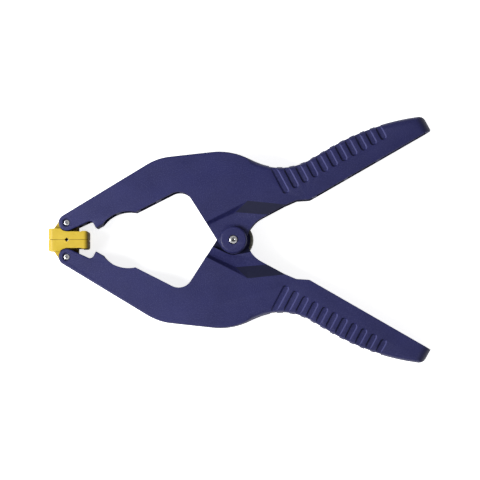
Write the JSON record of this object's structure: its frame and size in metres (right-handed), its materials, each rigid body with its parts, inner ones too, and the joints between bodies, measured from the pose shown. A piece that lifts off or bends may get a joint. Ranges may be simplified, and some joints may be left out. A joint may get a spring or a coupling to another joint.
{
  "type": "spring clamp",
  "caption": "Hand spring clamp with plastic levers, torsion spring at a riveted pivot, toothed jaws and swivelling flat pads.",
  "frame": {"origin": "on the pivot axis, at the flat side face the clamp lies on", "axes": "+Z along the pivot axis, -X towards the jaws, +X towards the handles, Y across the two levers"},
  "size_m": [0.2295, 0.1476, 0.03],
  "materials": {
    "lever_plastic": "finely grained moulding",
    "pad_plastic": "smooth satin moulding",
    "bright_steel": "bright cut steel",
    "spring_steel": "oil-dark drawn wire"
  },
  "bodies": {
    "lower_lever": {"lower_lever": "lever_plastic", "pivot_rivet": "bright_steel", "torsion_spring": "spring_steel", "lower_pad_pin": "bright_steel"},
    "upper_lever": {"upper_lever": "lever_plastic", "upper_pad_pin": "bright_steel"},
    "upper_pad": {"upper_pad": "pad_plastic"},
    "lower_pad": {"lower_pad": "pad_plastic"}
  },
  "joints": [
    {"name": "lever_pivot", "type": "hinge", "parent": "lower_lever", "child": "upper_lever", "pos_m": [0, 0, 0.015], "axis": [0, 0, -1], "range_deg": [0, 45], "stiffness_Nm_per_rad": 5, "springref_deg": -45.84, "deforming": ["torsion_spring"]},
    {"name": "upper_pad_swivel", "type": "hinge", "parent": "upper_lever", "child": "upper_pad", "pos_m": [-0.1001, 0.0103, 0.015], "axis": [0, 0, 1], "range_deg": [0, 22.5]},
    {"name": "lower_pad_swivel", "type": "hinge", "parent": "lower_lever", "child": "lower_pad", "pos_m": [-0.1001, -0.0103, 0.015], "axis": [0, 0, -1], "range_deg": [0, 22.5]}
  ],
  "couplings": [
    {"joint": "upper_pad_swivel", "follows": "lever_pivot", "ratio": 0.5},
    {"joint": "lower_pad_swivel", "follows": "lever_pivot", "ratio": 0.5}
  ]
}
